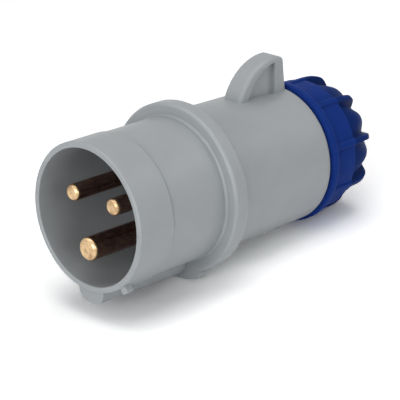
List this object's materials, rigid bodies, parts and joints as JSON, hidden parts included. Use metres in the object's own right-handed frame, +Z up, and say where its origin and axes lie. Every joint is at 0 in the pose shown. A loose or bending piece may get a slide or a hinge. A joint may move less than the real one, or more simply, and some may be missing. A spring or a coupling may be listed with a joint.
{
  "type": "industrial plug",
  "caption": "Industrial plug with a round keyed shroud over contact pins, a collar, a webbed lug on top and a finned gland nut.",
  "frame": {"origin": "centre of the shroud's rim, on the plug's axis", "axes": "+Y along the plug's axis from the pins towards the gland nut, +Z up through the webbed lug, key at -Z"},
  "size_m": [0.051, 0.103, 0.0594],
  "materials": {
    "body_plastic": "fine satin grain, light grey",
    "nut_plastic": "satin, dark blue",
    "carrier_plastic": "satin, dark blue grey",
    "plate_plastic": "plain moulded, off-white",
    "ring_plastic": "plain moulded, dark grey",
    "contact_brass": "turned, polished",
    "screw_steel": "zinc plated",
    "black_rubber": "moulded rubber"
  },
  "bodies": {
    "plug_body": {"housing": "body_plastic", "contact_carrier": "carrier_plastic", "carrier_gasket": "black_rubber", "retaining_plate": "plate_plastic", "plate_screw": "screw_steel", "carrier_screw_right": "screw_steel", "carrier_screw_left": "screw_steel", "pin_line": "contact_brass", "terminal_screw_line": "screw_steel", "wire_saddle_line": "screw_steel", "pin_neutral": "contact_brass", "terminal_screw_neutral": "screw_steel", "wire_saddle_neutral": "screw_steel", "pin_earth": "contact_brass", "terminal_screw_earth": "screw_steel", "wire_saddle_earth": "screw_steel", "seal_washer": "ring_plastic", "cable_seal": "black_rubber"},
    "clamp": {"clamp_ring": "ring_plastic"},
    "nut": {"gland_nut": "nut_plastic"}
  },
  "joints": [
    {"name": "clamp_slide", "type": "slide", "parent": "plug_body", "child": "clamp", "axis": [0, 1, 0], "range_m": [0, 0.00601]},
    {"name": "nut_turn", "type": "hinge", "parent": "clamp", "child": "nut", "pos_m": [0, 0.09, 0], "axis": [0, 1, 0], "range_deg": [0, 720]}
  ],
  "couplings": [
    {"joint": "clamp_slide", "follows": "nut_turn", "m_per_rad": 0.000477}
  ]
}
